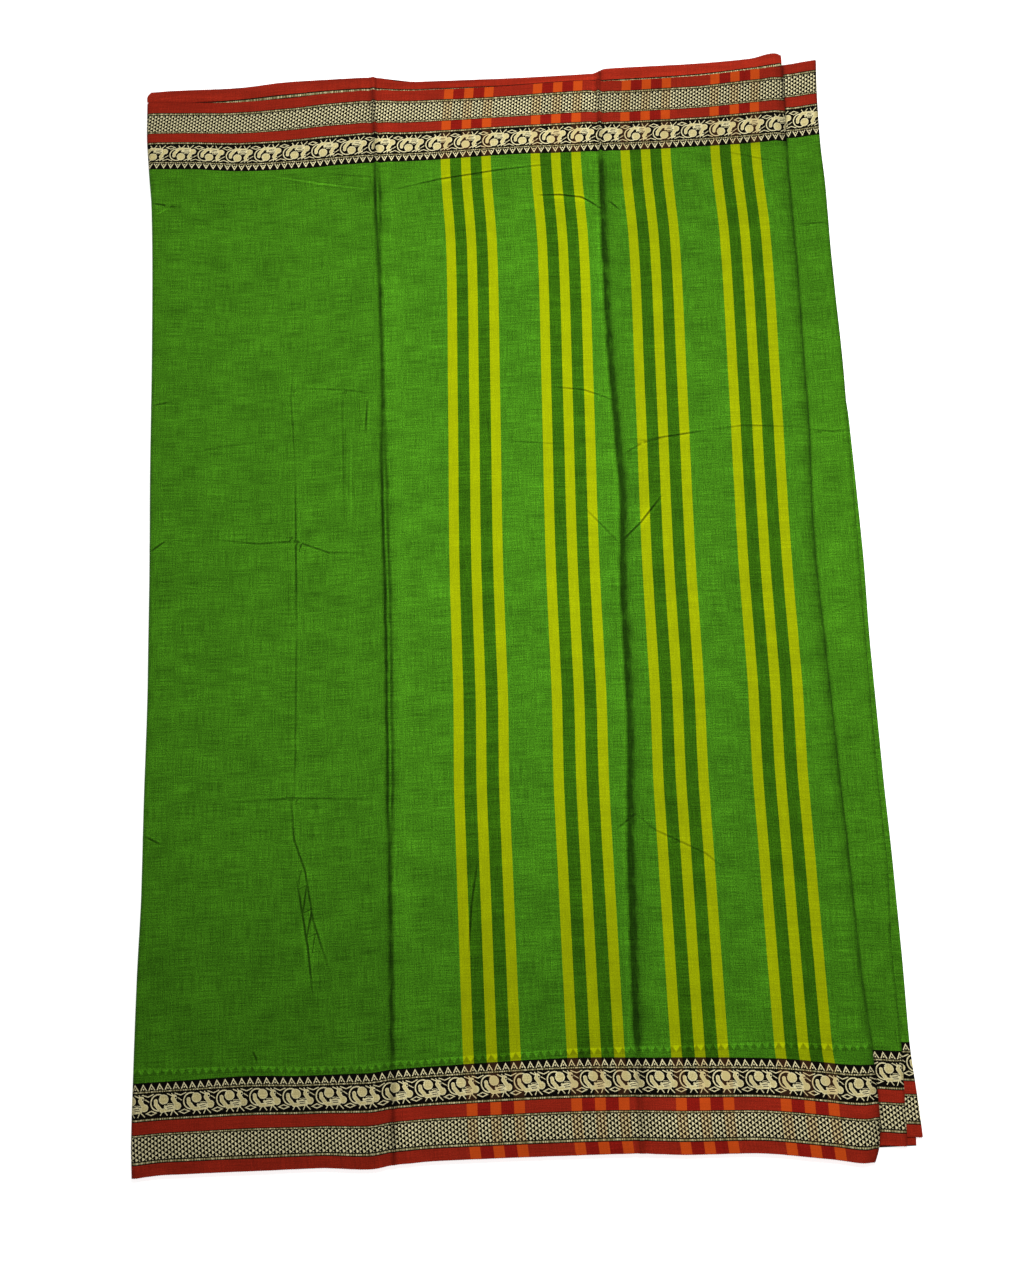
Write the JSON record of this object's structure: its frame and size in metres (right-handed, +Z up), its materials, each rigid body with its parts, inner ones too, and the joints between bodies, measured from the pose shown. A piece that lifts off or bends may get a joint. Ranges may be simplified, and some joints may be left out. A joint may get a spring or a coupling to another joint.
{
  "type": "folded saree",
  "caption": "Green cotton saree with zari borders and yellow stripes, folded for the shelf and laid flat at full cloth width.",
  "frame": {"origin": "middle of the folded pack in plan, on the surface that it lies on", "axes": "+X along the cloth's length, from the left fold to the open side; +Y across the cloth's width, from selvedge to selvedge; +Z up"},
  "size_m": [0.7638, 1.1964, 0.0126],
  "materials": {
    "striped_cotton": "matte woven cotton, yellow stripes, zari border",
    "green_cotton": "matte woven cotton, zari border"
  },
  "bodies": {
    "root": {"top_stretch": "striped_cotton", "turned_under_stretch": "green_cotton", "second_stretch": "green_cotton", "third_stretch": "green_cotton", "hidden_layers": "green_cotton"}
  },
  "joints": []
}
